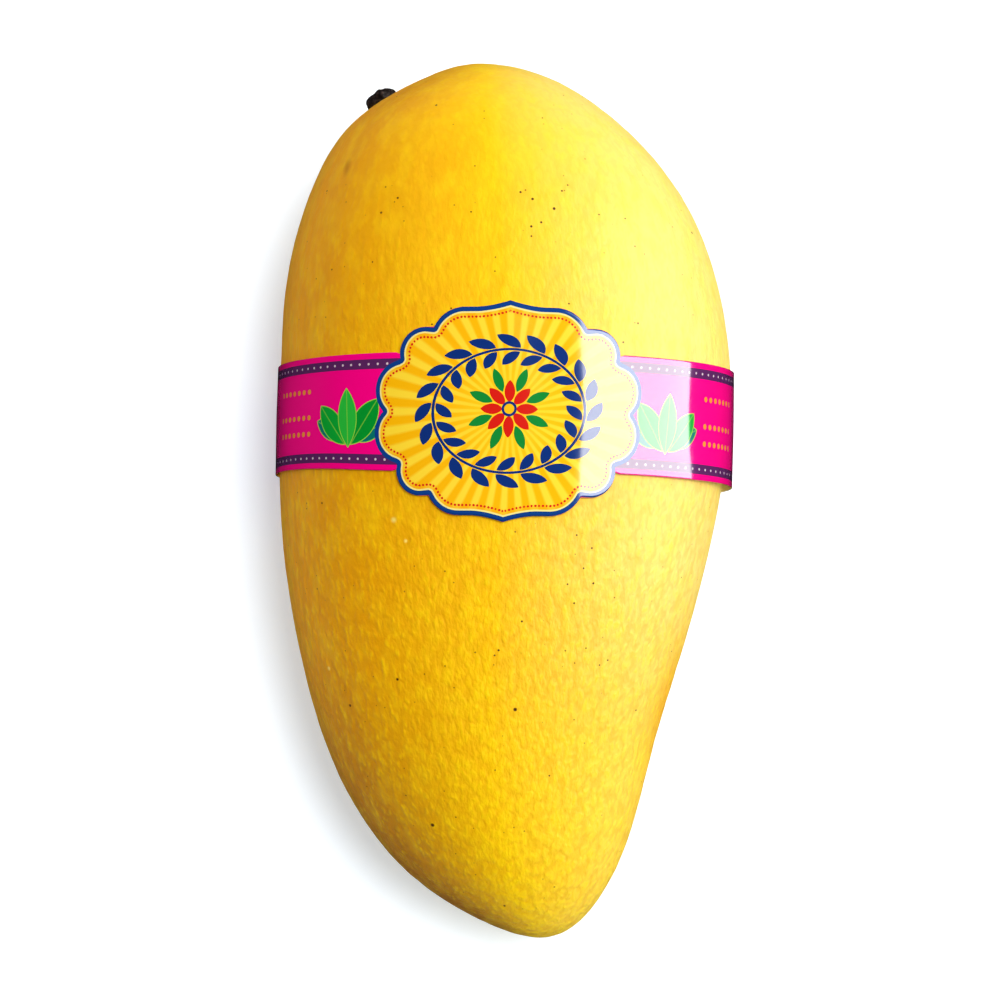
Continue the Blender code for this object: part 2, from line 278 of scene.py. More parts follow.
# Single pores and specks that stand out: sideways and lengthways place and radius in mm
MARKS_MM = (
    (9.8, 55.6, 0.40), (5.5, 57.5, 0.35), (3.1, 58.9, 0.30), (11.4, 59.4, 0.26), (12.6, 60.7, 0.22),
    (7.2, 52.7, 0.30), (5.2, 51.8, 0.32), (5.2, 49.8, 0.24), (7.5, 75.3, 0.20), (18.8, 54.8, 0.22),
    (-14.0, 78.2, 0.30), (-21.6, 58.3, 0.30), (-25.0, 55.5, 0.30), (-36.5, 61.8, 0.26),
    (-26.6, 45.4, 0.22), (-35.0, 44.7, 0.24), (-6.8, 54.8, 0.22), (24.1, 54.4, 0.22),
    (23.4, 29.0, 0.24), (26.4, 33.0, 0.24), (12.6, 36.3, 0.24), (38.1, 53.6, 0.34),
    (-14.6, 32.2, 0.22), (-10.8, 35.3, 0.22), (1.9, -43.9, 0.48), (-15.0, -66.9, 0.50),
    (-21.6, -37.8, 0.36), (-31.4, -42.8, 0.36), (17.1, -11.9, 0.26), (17.5, -18.8, 0.28),
    (13.7, -22.8, 0.26), (12.3, -19.1, 0.24), (14.0, -9.4, 0.24), (15.5, -15.9, 0.24),
    (3.3, -26.5, 0.28), (-1.3, -32.2, 0.28), (-2.1, -33.2, 0.24), (-37.2, -2.2, 0.28),
    (-0.1, -83.3, 0.30), (26.6, -43.7, 0.26), (20.7, -33.9, 0.24), (19.0, -34.9, 0.22),
    (16.2, -31.6, 0.22), (8.6, -57.0, 0.24),
)
SCARS_MM = ((-22.4, -6.3, 0.9), (-20.0, -10.5, 0.6), (-35.7, -35.2, 0.65))
SMUDGE_MM, SMUDGE_RADII_MM = (-32.2, 66.1), (1.3, 3.4, 2.0)


def on_upper_skin(x, y):
    """The place on the upper cheek over x and y in mm.

    The turn there is the arc cosine of the sideways share, from -1 at the left edge to 1 at the right.
    """
    edges = skin(np.full(2, y * MM), np.array([math.pi, 0]))[:, 0]
    share = 2 * (x * MM - edges[0]) / (edges[1] - edges[0]) - 1
    return skin(np.array(y * MM), np.arccos(np.clip(share, -1, 1)))


def spot_share(tree, place, centre, radii_mm, soft):
    """1 inside an egg-shaped spot and 0 outside, fading over the soft share of its radii."""
    radii = [r * MM for r in radii_mm]
    nearer = add(tree, "Mapping", (place, centre, (0, 0, 0), radii), vector_type="TEXTURE")
    gap = add(tree, "VectorMath", (nearer,), operation="LENGTH").outputs["Value"]
    return add(tree, "MapRange", (gap, 1.0, 1 - soft), interpolation_type="SMOOTHSTEP")


clouds = noise(tree, place, 1000 / CLOUD_MM, 3.0)
cloud_share = add(tree, "MapRange", (clouds, *CLOUD_LEVELS))
side_share = add(tree, "Attribute", attribute_name="side_share").outputs["Fac"]
lengthways = add(tree, "SeparateXYZ", (place,)).outputs["Y"]
# Painted shade towards the tip: darker amber on the left, brighter gold on the right
painted_tip_shade = add(tree, "MapRange", (lengthways, *TIP_SHADE_Y, *TIP_SHADE_SHARE))
shade_side_amber = add(tree, "MixRGB", (cloud_share, *map(colour, SHADE_SIDE_AMBER)))
# Painted bounce light: lighter amber low along the left edge
painted_bounce_light_share = add(tree, "MapRange", (side_share, *BOUNCE_LIGHT_SIDE))
shade_side_amber = add(tree, "MixRGB", (painted_bounce_light_share, shade_side_amber, colour(PAINTED_BOUNCE_LIGHT_INK)))
shade_side_amber = add(tree, "MixRGB", (painted_tip_shade, shade_side_amber, colour(TIP_SHADE_AMBER)))
gold = add(tree, "MixRGB", (cloud_share, *map(colour, GOLD)))
gold = add(tree, "MixRGB", (painted_tip_shade, gold, colour(TIP_GOLD)))
# Painted shade: the left side amber, fading to gold towards the middle
shade_side_fade = add(tree, "MapRange", (side_share, *SHADE_FADE_SIDE))
hide = add(tree, "MixRGB", (shade_side_fade, shade_side_amber, gold))
# Painted sheen: cream on the right side, weaker towards the tip
sheen_side = add(tree, "MapRange", (side_share, *SHEEN_SIDE))
sheen_length = add(tree, "MapRange", (lengthways, *SHEEN_Y, *SHEEN_SHARE))
painted_sheen_share = add(tree, "Math", (sheen_side, sheen_length), operation="MULTIPLY")
hide = add(tree, "MixRGB", (painted_sheen_share, hide, colour(PAINTED_SHEEN_INK)))
# Painted shade: deeper gold where the skin hollows on the lower right
hollow_shade = spot_share(tree, place, on_upper_skin(*HOLLOW_MM), HOLLOW_RADII_MM, HOLLOW_SOFT)
hide = add(tree, "MixRGB", (hollow_shade, hide, colour(HOLLOW_SHADE_INK)))
streak_place = add(tree, "Mapping", {"Vector": place, "Scale": [1000 / s for s in STREAK_MM]})
streaks = noise(tree, streak_place, 1.0, 2.0)
streak_share = add(tree, "MapRange", (streaks, *STREAK_LEVELS, *STREAK_SHARE))
hide = add(tree, "MixRGB", (streak_share, hide, colour(STREAK_INK)))

# The pebbles' pattern: soft cells, bent by a noise so that no two are alike, paler at their middles,
# partly their own colour and partly painted highlight, with painted shade in the grooves between them
dash_place = add(tree, "Mapping", {"Vector": place, "Scale": [1000 / s for s in DASH_MM]})
bend = noise(tree, dash_place, BEND_SCALE, 1.0).outputs["Color"]
bent_place = add(tree, "VectorMath", (bend, BEND_REACH, dash_place), operation="MULTIPLY_ADD")
cell_inputs = {"Vector": bent_place, "Scale": 1.0, "Smoothness": PEBBLE_SMOOTHNESS}
cells = add(tree, "TexVoronoi", cell_inputs, feature="SMOOTH_F1")
strength = noise(tree, dash_place, STRENGTH_SCALE, 1.0)
pebbly = add(tree, "MapRange", (lengthways, *PEBBLY_Y, *PEBBLY_SHARE))
dash_and_highlight = add(tree, "MapRange", (cells, *DASH_EDGE))
dash_and_highlight_kept = add(tree, "MapRange", (strength, *DASH_LEVELS, *DASH_SHARE))
dash_and_highlight_share = add(tree, "Math", (dash_and_highlight, dash_and_highlight_kept), operation="MULTIPLY")
dash_and_highlight_share = add(tree, "Math", (dash_and_highlight_share, pebbly), operation="MULTIPLY")
hide = add(tree, "MixRGB", (dash_and_highlight_share, hide, colour(DASH_AND_HIGHLIGHT_INK)))
# Painted shade in the grooves between the pebbles
groove_shade = add(tree, "MapRange", (cells, *GROOVE_SHADE_EDGE, *GROOVE_SHADE_SHARE))
painted_groove_shade_share = add(tree, "Math", (groove_shade, pebbly), operation="MULTIPLY")
hide = add(tree, "MixRGB", (painted_groove_shade_share, hide, colour(GROOVE_SHADE_INK)))

# Pores: one dot in some of the cells of a second, unbent pattern, each with a radius of its own
pores = add(tree, "TexVoronoi", {"Vector": place, "Scale": 1000 / PORE_MM})
pore_draw = add(tree, "SeparateColor", (pores.outputs["Color"],)).outputs["Red"]
pore_radius = add(tree, "MapRange", (pore_draw, *PORE_DRAWS, *PORE_RADII))
pore_depth = add(tree, "Math", (pore_radius, pores.outputs["Distance"]), operation="SUBTRACT")
pore_share = add(tree, "MapRange", (pore_depth, *PORE_EDGE, *PORE_SHARE))
hide = add(tree, "MixRGB", (pore_share, hide, colour(PORE_INK)))
smudge = spot_share(tree, place, on_upper_skin(*SMUDGE_MM), SMUDGE_RADII_MM, SMUDGE_SOFT)
smudge_share = add(tree, "Math", (smudge, strength), operation="MULTIPLY")
hide = add(tree, "MixRGB", (smudge_share, hide, colour(SMUDGE_INK)))
for x, y, radius_mm in SCARS_MM:
    scar = spot_share(tree, place, on_upper_skin(x, y), [radius_mm] * 3, SCAR_SOFT)
    hide = add(tree, "MixRGB", (scar, hide, colour(SCAR_INK)))
for x, y, radius_mm in MARKS_MM:
    mark = spot_share(tree, place, on_upper_skin(x, y), [radius_mm] * 3, MARK_SOFT)
    hide = add(tree, "MixRGB", (mark, hide, colour(MARK_INK)))
tree.links.new(hide.outputs[0], shader.inputs["Base Color"])
grit = noise(tree, dash_place, GRIT_SCALE, 2.0)
relief = add(tree, "Math", (grit, cells), operation="SUBTRACT")
bump = add(tree, "Bump", {"Strength": pebbly, "Distance": SKIN_BUMP, "Height": relief})
tree.links.new(bump.outputs[0], shader.inputs["Normal"])
shader.inputs["Roughness"].default_value = 0.50
shader.inputs["Specular IOR Level"].default_value = 0.25
shader.inputs["IOR"].default_value = 1.42
shader.inputs["Subsurface Weight"].default_value = 0.10
shader.inputs["Subsurface Radius"].default_value = (1.0, 0.45, 0.12)
shader.inputs["Subsurface Scale"].default_value = 2 * MM
shader.inputs["Coat Weight"].default_value = 0.2
shader.inputs["Coat Roughness"].default_value = 0.42
mango.data.materials.append(mango_skin)
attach(mango, "root")
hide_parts("mango_fruit")


# The stem stub: the dried end of the fruit's stalk, left on its left shoulder where it broke off.
# It is dead wood fibre under shrunken bark, hard and almost black, and grew out of the skin.
STUB_Y = 82.3 * MM
STUB_TURN = math.radians(190)
STUB_RADIUS = 3.5 * MM
STUB_HEIGHT = 2.9 * MM
STUB_SINK = 0.4 * MM
STUB_RINGS, STUB_SIDES = 64, 120
# Side view from the seat to the broken top, as shares of radius and height
STUB_PROFILE = (
    (0.80, -0.12), (0.93, 0.1), (1.0, 0.36), (0.97, 0.6),
    (0.84, 0.8), (0.62, 0.93), (0.3, 0.99), (0, 1.0),
)
# Flats round its side: how many, how deep as a share of the radius, and their turn
STUB_FLATS = ((5, 0.05, 0.7), (2, 0.04, 0.0), (11, 0.02, 0.0))
# The bark's grain: size, height and seed of each
BARK_GRAINS = ((1.1 * MM, 0.12 * MM, 21), (0.5 * MM, 0.07 * MM, 22))
STEP_Y, STEP_TURN = MM, 0.02
near_y = np.array([STUB_Y - STEP_Y, STUB_Y + STEP_Y])
near_turn = np.array([STUB_TURN + STEP_TURN, STUB_TURN - STEP_TURN])
stub_seat = skin(np.array(STUB_Y), np.array(STUB_TURN))
stub_along = np.subtract(*skin(near_y, np.full(2, STUB_TURN)))
stub_round = np.subtract(*skin(np.full(2, STUB_Y), near_turn))
stub_out = np.cross(stub_round, stub_along)
stub_out *= np.sign(stub_out[1]) / np.linalg.norm(stub_out)
stub_round /= np.linalg.norm(stub_round)
stub_up = np.cross(stub_out, stub_round)
profile_radius, profile_rise = np.array(STUB_PROFILE).T
profile_places = np.arange(len(STUB_PROFILE))
profile_steps = np.linspace(0, len(STUB_PROFILE) - 1, STUB_RINGS)[:-1, None]
stub_turn = np.linspace(0, 2 * math.pi, STUB_SIDES, endpoint=False)
flats = 1 + sum(depth * np.cos(count * stub_turn + turn) for count, depth, turn in STUB_FLATS)
radius = STUB_RADIUS * np.interp(profile_steps, profile_places, profile_radius) * flats
height = (STUB_HEIGHT + STUB_SINK) * np.interp(profile_steps, profile_places, profile_rise)
height = height - STUB_SINK + 0 * radius
spokes = np.cos(stub_turn)[:, None] * stub_round + np.sin(stub_turn)[:, None] * stub_up
stub_points = stub_seat + radius[..., None] * spokes + height[..., None] * stub_out
bark = sum(rise * cell_noise(stub_points, size, seed) for size, rise, seed in BARK_GRAINS)
stub_points = stub_points + outward(stub_points) * bark[..., None]
stub_ends = stub_seat + np.outer([-2 * STUB_SINK, STUB_HEIGHT], stub_out)
stub_index = np.arange(radius.size).reshape(radius.shape)
seat_cap = end_cap(stub_index[0], radius.size)
top_cap = end_cap(stub_index[-1][::-1], radius.size + 1)
stub_faces = [*grid_quads(stub_index, wrap=True), *seat_cap, *top_cap]
stub_points = np.concatenate([stub_points.reshape(-1, 3), stub_ends])
stub = solid_piece("dried_stem_stub", stub_points, stub_faces)

# Dried stalk bark: black-brown and cracked, with its raised ridges painted paler as a highlight, and a
# faint dull shine.
CRACK_MM = 0.7
BARK_INK, RIDGE_HIGHLIGHT_INK, RIDGE_HIGHLIGHT_LEVELS = "1A1211", "54443E", (0.45, 0.75)
BARK_BUMP, BARK_BUMP_SHARE = 0.15 * MM, 0.8
stem_bark, tree, shader = new_material("dried_stem_bark")
place = add(tree, "TexCoord").outputs["Object"]
cracks = noise(tree, place, 1000 / CRACK_MM, 4.0, 0.6)
# Painted highlight: paler where the grain stands highest
ridge_highlight = add(tree, "MapRange", (cracks, *RIDGE_HIGHLIGHT_LEVELS))
bark_colour = add(tree, "MixRGB", (ridge_highlight, colour(BARK_INK), colour(RIDGE_HIGHLIGHT_INK)))
tree.links.new(bark_colour.outputs[0], shader.inputs["Base Color"])
bump_inputs = {"Strength": BARK_BUMP_SHARE, "Distance": BARK_BUMP, "Height": cracks}
bark_bump = add(tree, "Bump", bump_inputs)
tree.links.new(bark_bump.outputs[0], shader.inputs["Normal"])
shader.inputs["Roughness"].default_value = 0.5
shader.inputs["IOR"].default_value = 1.5
stub.data.materials.append(stem_bark)
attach(stub, "root")
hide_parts("stem_stub")


# The film wrap: one die-cut strip of glossy printed polypropylene, pulled once round the fruit
# and glued where its ends overlap underneath. It is stiff across its width, so at the fruit's
# sides it stands a little off the skin. On the upper cheek it widens into a scalloped badge.
FILM_THICKNESS = 0.1 * MM
FILM_LIFT = 0.40 * MM
BAND_CENTRE_Y = 14.8 * MM
BAND_HALF_WIDTH = 11.8 * MM
BAND_SKEW = 0.012
BAND_NARROWING = 1.6 * MM
NARROWING_X = (-18 * MM, -46 * MM)
BADGE_X = 0.7 * MM
BADGE_HALF_HEIGHT = 21.9 * MM
BADGE_FLAT_V = 20.6 * MM
OGEE_HALF_WIDTH, OGEE_POWER = 6.8 * MM, 1.7
SHOULDER_CENTRE, SHOULDER_RADIUS = (9.2 * MM, 13.7 * MM), 6.9 * MM
NOTCH_U = 15.5 * MM
CORNER_CENTRE, CORNER_RADIUS = (17.3 * MM, 11.5 * MM), 5.2 * MM
SIDE_CENTRE, SIDE_RADIUS = (21.6 * MM, 4.3 * MM), 6.0 * MM
STRAIGHT_Y = 21 * MM
CHEEK_STRAIGHTNESS = 0.35
SEAM_TURN = math.radians(-40)
FILM_OVERLAP = 14 * MM
OVERLAP_RAMP, OVERLAP_LEAD, OVERLAP_GAP = 6.5 * MM, 1.5 * MM, 0.1 * MM
# The mesh: length of a column, rows, columns of half the badge, and steps that measure the girth
FILM_COLUMN = 0.9 * MM
FILM_ROWS = 88
LOBE_COLUMNS, CORNER_COLUMNS = 56, 24
LOOP_STEPS = 3601
# The film's waves: size along and across the band, height and seed of each, and where in their
# noise they start
WAVES = (
    (9.0 * MM, 30.0 * MM, 0.085 * MM, 31),
    (3.9 * MM, 13.0 * MM, 0.03 * MM, 32),
    (16.0 * MM, 20.0 * MM, 0.24 * MM, 33),
)
WAVE_START = 20


def film_top(u):
    """The film's upper edge at distance u from the badge's middle, one stretch after another.

    First a point that falls to its flat level by (1 - u / half width) ^ power, then a shoulder
    and a corner lobe, which are the upper arcs of circles, and last the band's straight edge.
    """
    side = np.abs(u)
    sag = np.maximum(1 - side / OGEE_HALF_WIDTH, 0) ** OGEE_POWER
    point = BADGE_FLAT_V + (BADGE_HALF_HEIGHT - BADGE_FLAT_V) * sag
    shoulder_rise = np.maximum(SHOULDER_RADIUS**2 - (side - SHOULDER_CENTRE[0]) ** 2, 0)
    shoulder = SHOULDER_CENTRE[1] + np.sqrt(shoulder_rise)
    past_corner = np.maximum(side - CORNER_CENTRE[0], 0)
    corner = CORNER_CENTRE[1] + np.sqrt(np.maximum(CORNER_RADIUS**2 - past_corner**2, 0))
    badge = np.where(side < SHOULDER_CENTRE[0], point, np.where(side < NOTCH_U, shoulder, corner))
    return np.where(side <= CORNER_CENTRE[0] + CORNER_RADIUS, badge, BAND_HALF_WIDTH)


def even_columns(start, end):
    """Lengths along the band from start to end, in even steps of about one column."""
    return np.linspace(start, end, round((end - start) / FILM_COLUMN))


def film_layer(y, turn, lift):
    """Points of the film at this lift over the skin.

    Across its width the film blends the skin with the straight line that touches it where the
    fruit is widest: all straight at the sides, and mostly skin over the cheeks. The lift is
    square to the section's outline.
    """
    touch = np.full_like(y, STRAIGHT_Y)
    slope = (skin(touch + MM, turn) - skin(touch - MM, turn)) / (2 * MM)
    straight = skin(touch, turn) + slope * (y - touch)[..., None]
    share = (CHEEK_STRAIGHTNESS + (1 - CHEEK_STRAIGHTNESS) * np.cos(turn) ** 2)[..., None]
    points = skin(y, turn) * (1 - share) + straight * share
    round_step = 0.01
    along = skin(y, turn + round_step) - skin(y, turn - round_step)
    out = np.stack([along[..., 2], 0 * y, -along[..., 0]], -1)
    out /= np.linalg.norm(out, axis=-1, keepdims=True)
    return points + out * lift[..., None]


# Lengths along the band, from the badge's middle, and the turn round the fruit at each
loop_turns = np.linspace(2 * math.pi, -math.pi, LOOP_STEPS)
loop_y = np.full_like(loop_turns, BAND_CENTRE_Y)
loop = film_layer(loop_y, loop_turns, np.full_like(loop_turns, FILM_LIFT))
lengths = np.concatenate([[0], np.cumsum(np.linalg.norm(np.diff(loop, axis=0), axis=1))])
upper = (loop_turns > 0) & (loop_turns < math.pi)
lengths -= np.interp(BADGE_X, loop[upper, 0], lengths[upper])
seam = np.interp(-SEAM_TURN, -loop_turns, lengths)
film_start = np.interp(-SEAM_TURN - 2 * math.pi, -loop_turns, lengths)
film_end = seam + FILM_OVERLAP
half_badge = np.concatenate([
    np.linspace(0, NOTCH_U, LOBE_COLUMNS)[1:],
    CORNER_CENTRE[0] + CORNER_RADIUS * np.sin(np.linspace(0, math.pi / 2, CORNER_COLUMNS)),
])
badge_columns = np.concatenate([-half_badge[::-1], [0.0], half_badge])
left_columns = even_columns(film_start, badge_columns[0])
right_columns = even_columns(badge_columns[-1], film_end)
film_u = np.concatenate([left_columns[:-1], badge_columns, right_columns[1:]])
column_x = skin(BAND_CENTRE_Y + 0 * film_u, np.interp(film_u, lengths, loop_turns))[:, 0]
edge_v = film_top(film_u)
centre_y = BAND_CENTRE_Y - BAND_SKEW * column_x
narrow = np.clip((column_x - NARROWING_X[0]) / (NARROWING_X[1] - NARROWING_X[0]), 0, 1)
narrow = BAND_NARROWING * narrow * narrow * (3 - 2 * narrow) * (edge_v <= BAND_HALF_WIDTH)
film_v = edge_v[:, None] * np.linspace(-1, 1, FILM_ROWS + 1)
film_y = centre_y[:, None] + film_v + narrow[:, None] * (1 - (film_v / edge_v[:, None])) / 2
leaning_u = film_u[:, None] + BAND_SKEW * (film_y - BAND_CENTRE_Y)
film_turn = np.interp(leaning_u, lengths, loop_turns)
climb = np.clip((leaning_u - seam + OVERLAP_RAMP + OVERLAP_LEAD) / OVERLAP_RAMP, 0, 1)
over = (FILM_THICKNESS + OVERLAP_GAP) * climb * climb * (3 - 2 * climb)
waves = 0
for long, wide, rise, seed in WAVES:
    wave_place = np.stack([film_u[:, None] / long + 0 * film_v, film_v / wide, 0 * film_v], -1)
    waves = waves + rise * cell_noise(wave_place + WAVE_START, 1, seed)
film_inner = film_layer(film_y, film_turn, over + FILM_LIFT + waves)
film_outer = film_layer(film_y, film_turn, over + FILM_LIFT + FILM_THICKNESS + waves)
film_inner[..., 2] = np.maximum(film_inner[..., 2], FILM_THICKNESS)
film_outer[..., 2] = np.maximum(film_outer[..., 2], 0)
outer_index = np.arange(film_y.size).reshape(film_y.shape)
inner_index = outer_index + film_y.size
film_faces = np.concatenate([
    grid_quads(outer_index)[:, ::-1],
    grid_quads(inner_index),
    grid_quads(np.stack([outer_index[:, 0], inner_index[:, 0]]))[:, ::-1],
    grid_quads(np.stack([outer_index[:, -1], inner_index[:, -1]])),
    grid_quads(np.stack([outer_index[0], inner_index[0]])),
    grid_quads(np.stack([outer_index[-1], inner_index[-1]]))[:, ::-1],
])
film_points = np.concatenate([film_outer.reshape(-1, 3), film_inner.reshape(-1, 3)])
film = solid_piece("printed_film_wrap", film_points, film_faces)


def arc(centre, radius, start, end, count):
    """An arc of a circle from one angle in degrees to another, its points as numbers u + iv."""
    turn = np.radians(np.linspace(start, end, count))
    return complex(*centre) + radius * np.exp(1j * turn)


# Angles at which the corner lobe's arc ends and the side lobe's starts, and points of each stretch
CORNER_END, SIDE_START = -12, 78
POINT_POINTS, SHOULDER_POINTS, CORNER_POINTS, SIDE_POINTS = 40, 40, 50, 60


def badge_outline():
    """The badge's printed outline as numbers u + iv, clockwise: a quarter, mirrored down, then left."""
    point_u = np.linspace(0, SHOULDER_CENTRE[0], POINT_POINTS)
    notch_turn = math.degrees(math.acos((NOTCH_U - SHOULDER_CENTRE[0]) / SHOULDER_RADIUS))
    side_turn = math.degrees(math.asin(SIDE_CENTRE[1] / SIDE_RADIUS))
    quarter = np.concatenate([
        point_u + 1j * film_top(point_u),
        arc(SHOULDER_CENTRE, SHOULDER_RADIUS, 90, notch_turn, SHOULDER_POINTS)[1:],
        arc(CORNER_CENTRE, CORNER_RADIUS, 90, CORNER_END, CORNER_POINTS),
        arc(SIDE_CENTRE, SIDE_RADIUS, SIDE_START, -side_turn, SIDE_POINTS),
    ])
    right = np.concatenate([quarter, quarter[::-1].conj()])
    return np.concatenate([right, -right[::-1].conj()])


def even_path(points, step):
    """A closed path's points at equal steps, as numbers u + iv, and the length along it of each."""
    closed = np.append(points, points[0])
    length = np.append(0, np.cumsum(np.abs(np.diff(closed))))
    along = np.linspace(0, length[-1], round(length[-1] / step), endpoint=False)
    return np.interp(along, length, closed), along


def nearest_on(path, places):
    """For each place, the distance to the nearest point of a path, and that point's number."""
    gaps = np.abs(places[:, None].astype(np.complex64) - path.astype(np.complex64))
    return gaps.min(1), gaps.argmin(1)


# For each point of the film, its distance from the badge's outline, less than 0 inside, and how
# far round the stitch line its nearest place is. The stitch line lies at an even depth inside the
# outline, whose direction is smoothed there so that it turns its notches in small arcs.
BADGE_REACH = 32 * MM
FAR_MM = 10.0
PATH_STEP = 0.13 * MM
STITCH_DEPTH_MM = 2.0
SMOOTHING_STEPS = 4
rim = even_path(badge_outline(), PATH_STEP)[0]
rim_out = 1j * (np.roll(rim, -1) - np.roll(rim, 1))
smooth_out = sum(np.roll(rim_out, k) for k in range(-SMOOTHING_STEPS, SMOOTHING_STEPS + 1))
inner_rim = rim - STITCH_DEPTH_MM * MM * smooth_out / np.abs(smooth_out)
stitch_line, stitch_along = even_path(inner_rim, PATH_STEP)
flat_places = (film_u[:, None] + 1j * film_v).ravel()
near = np.abs(flat_places.real) < BADGE_REACH
rim_gap, rim_nearest = nearest_on(rim, flat_places[near])
outside = ((flat_places[near] - rim[rim_nearest]) * rim_out[rim_nearest].conj()).real > 0
edge_distance = np.full(len(flat_places), FAR_MM)
edge_distance[near] = rim_gap / MM * np.where(outside, 1, -1)
edge_along = np.zeros(len(flat_places))
edge_along[near] = stitch_along[nearest_on(stitch_line, flat_places[near])[1]] / MM
for name, outer, inner in (
    ("badge_edge_mm", edge_distance, edge_distance),
    ("badge_round_mm", edge_along, edge_along),
    ("printed_side", np.ones(film_y.size), np.zeros(film_y.size)),
):
    layer = film.data.attributes.new(name, "FLOAT", "POINT")
    layer.data.foreach_set("value", np.append(outer, inner).astype(np.float32))
film_uv = film.data.uv_layers.new(name="film_mm")
corner_vertex = np.zeros(len(film.data.loops), int)
film.data.loops.foreach_get("vertex_index", corner_vertex)
corner_place = np.tile(flat_places, 2)[corner_vertex] / MM
corner_uv = np.stack([corner_place.real, corner_place.imag], -1)
film_uv.data.foreach_set("uv", corner_uv.astype(np.float32).ravel())

# Printed polypropylene film: ink under a clear glossy face, so each colour is flat and saturated
# and the face mirrors lamps sharply. The print is a magenta band with a beaded purple stripe along
# each edge and leaf sprigs between, and a yellow sunburst badge with a blue rim and a leaf wreath.
# All its sizes are in millimetres on the flat film.
BAND_INK, STRIPE_INK, BEAD_INK, DOT_INK = "FC008A", "643066", "DCC6CC", "F59A3E"
BACK_INK = "F2EFEA"
STRIPE_V, STRIPE_HALF = 9.6, 1.0
BEAD_PITCH, BEAD_RADIUS = 2.1, 0.25
SPRIG_FIRST, SPRIG_PITCH = 34.0, 50.0
# Each leaf of a sprig: its foot, turn from upright in degrees, length, width and ink
SPRIG_LEAVES = (
    (-0.6, -5.4, 70, 8.6, 4.4, "0E7C74"), (0.6, -5.4, -66, 9.0, 4.6, "0E7C74"),
    (-0.6, -6.8, 34, 11.4, 5.4, "0B9B37"), (0.8, -6.8, -40, 10.8, 5.2, "12A83C"),
    (0.0, -7.4, -3, 12.4, 4.8, "35BE45"),
)
LEAF_EDGE, LEAF_RIB, LEAF_RIB_SHARE, LEAF_EDGE_INK = 0.20, 0.13, 0.5, "9FD64C"
DOT_ROWS, DOT_PITCH, DOT_RADIUS = (4.6, -0.9, -4.4), 1.9, 0.55
DOTS_FROM_SPRIG, DOTS_HALF_LENGTH = 17.0, 6.2
RIM_WIDTH, RIM_LINE = 0.92, 1.26
TINT_EDGE, TINT_SHARE = (-STITCH_DEPTH_MM - 0.5, -STITCH_DEPTH_MM + 0.2), (0.0, 0.5)
RIM_INK, RIM_LINE_INK, TINT_INK = "17498F", "F8E692", "F9B018"
SUN_INK, RAY_INK, GLOW_INK = "FCBC0C", "FFDA40", "FFD22C"
RAY_COUNT, RAY_EDGE = 40, (0.05, 0.025)
GLOW_RADII, GLOW_SHARE = (3.0, 14.0), (0.7, 0.0)
STITCH_PITCH, STITCH_RADIUS, STITCH_INK = 0.76, 0.23, "D8281C"
WREATH_INK, WREATH_SQUASH, WREATH_RADIUS, WREATH_PAIRS = "163A80", 0.80, 12.2, 20
WREATH_LEAF, WREATH_LEAF_MIDDLE, WREATH_TILT, WREATH_STALK = (2.1, 0.95), (0.1, 1.7, 0), 38, 0.24
ROSETTE_V, EYE_RADIUS, EYE_INK = 0.4, (1.5, 1.0), "F6C21C"
# Rings of petals from the outside in: count, middle radius, half length, half width, half steps
# turned, and ink
ROSETTE = ((8, 6.1, 2.5, 0.95, 1, "1C8E3F"), (8, 3.5, 2.2, 1.05, 0, "D8281C"))

film_print, tree, shader = new_material("glossy_printed_film")
flat = add(tree, "UVMap", uv_map="film_mm")
flat_parts = add(tree, "SeparateXYZ", (flat,))
film_u_mm, film_v_mm = flat_parts.outputs["X"], flat_parts.outputs["Y"]
edge_mm = add(tree, "Attribute", attribute_name="badge_edge_mm").outputs["Fac"]
round_mm = add(tree, "Attribute", attribute_name="badge_round_mm").outputs["Fac"]
printed_side = add(tree, "Attribute", attribute_name="printed_side").outputs["Fac"]


def span(tree, across, up):
    """The distance of a flat place from its pattern's middle: the root of its two parts' squares."""
    flat_place = add(tree, "CombineXYZ", (across, up))
    return add(tree, "VectorMath", (flat_place,), operation="LENGTH").outputs["Value"]


def leaf_inside(tree, along, across, half_length, half_width):
    """How far a place lies inside a pointed leaf, the overlap of two equal circles.

    The circles' radius is (a^2 + b^2) / 2b for half length a and half width b, and their middles
    lie that radius less b off the leaf's midrib.
    """
    circle = (half_length**2 + half_width**2) / (2 * half_width)
    off_rib = add(tree, "Math", (across,), operation="ABSOLUTE")
    from_middle = add(tree, "Math", (off_rib, circle - half_width), operation="ADD")
    return add(tree, "Math", (circle, span(tree, along, from_middle)), operation="SUBTRACT")


# The band: magenta, with a purple stripe and pale beads near each edge
across = add(tree, "Math", (film_v_mm,), operation="ABSOLUTE")
stripe = add(tree, "Math", (across, STRIPE_V, STRIPE_HALF), operation="COMPARE")
band = add(tree, "MixRGB", (stripe, colour(BAND_INK), colour(STRIPE_INK)))
bead_u = add(tree, "Math", (film_u_mm, BEAD_PITCH / 2), operation="PINGPONG")
bead_v = add(tree, "Math", (across, STRIPE_V), operation="SUBTRACT")
bead = add(tree, "Math", (span(tree, bead_u, bead_v), BEAD_RADIUS), operation="LESS_THAN")
band = add(tree, "MixRGB", (bead, band, colour(BEAD_INK)))

